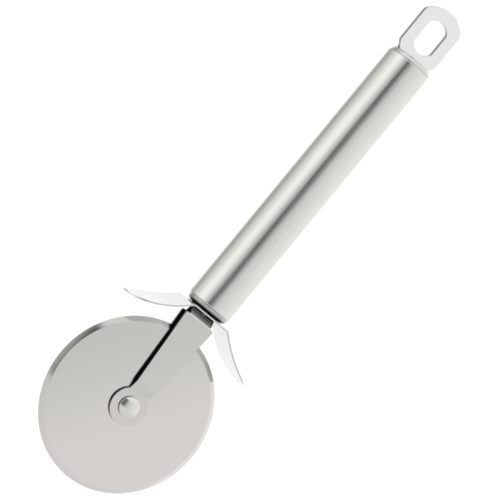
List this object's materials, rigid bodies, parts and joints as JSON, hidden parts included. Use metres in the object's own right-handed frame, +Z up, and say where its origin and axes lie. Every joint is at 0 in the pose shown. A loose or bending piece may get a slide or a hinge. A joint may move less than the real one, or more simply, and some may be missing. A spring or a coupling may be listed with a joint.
{
  "type": "pastry cutter wheel",
  "caption": "Hand cutter with a bevelled round blade in a bent steel fork, a finger guard, a tubular steel handle and a hanging loop.",
  "frame": {"origin": "under the middle of the overall length and width, on the surface that the handle tube rests on", "axes": "+X along the handle from the wheel to the hanging loop, +Z up along the wheel's axle; the tool lies flat, bevelled face of the wheel up"},
  "size_m": [0.2175, 0.067, 0.018],
  "materials": {
    "blade": "satin ground stainless steel with a brighter ground bevel",
    "pressed_steel": "fine brushed stainless strip, eased edges",
    "guard_sheet": "smooth satin stainless sheet",
    "tube": "satin brushed stainless tube, grain along the tube",
    "cap": "turned satin stainless caps",
    "loop_plate": "smooth satin stainless plate",
    "rivet": "polished stainless rivet",
    "hardware": "plain machined stainless hardware"
  },
  "bodies": {
    "handle": {"hub_bush": "pressed_steel", "friction_washer_front": "pressed_steel", "friction_washer_rear": "pressed_steel", "axle_rivet": "rivet", "rivet_socket": "rivet", "fork": "pressed_steel", "finger_guard": "guard_sheet", "guard_spacer": "hardware", "front_cap": "cap", "handle_tube": "tube", "rear_cap": "cap", "hanging_loop": "loop_plate", "tie_bolt": "hardware", "lock_washer": "hardware", "tie_nut": "hardware"},
    "wheel": {"cutting_wheel": "blade"}
  },
  "joints": [
    {"name": "wheel_spin", "type": "hinge", "parent": "handle", "child": "wheel", "pos_m": [-0.07525, 0, 0.009], "axis": [0, 0, 1], "continuous": true}
  ]
}
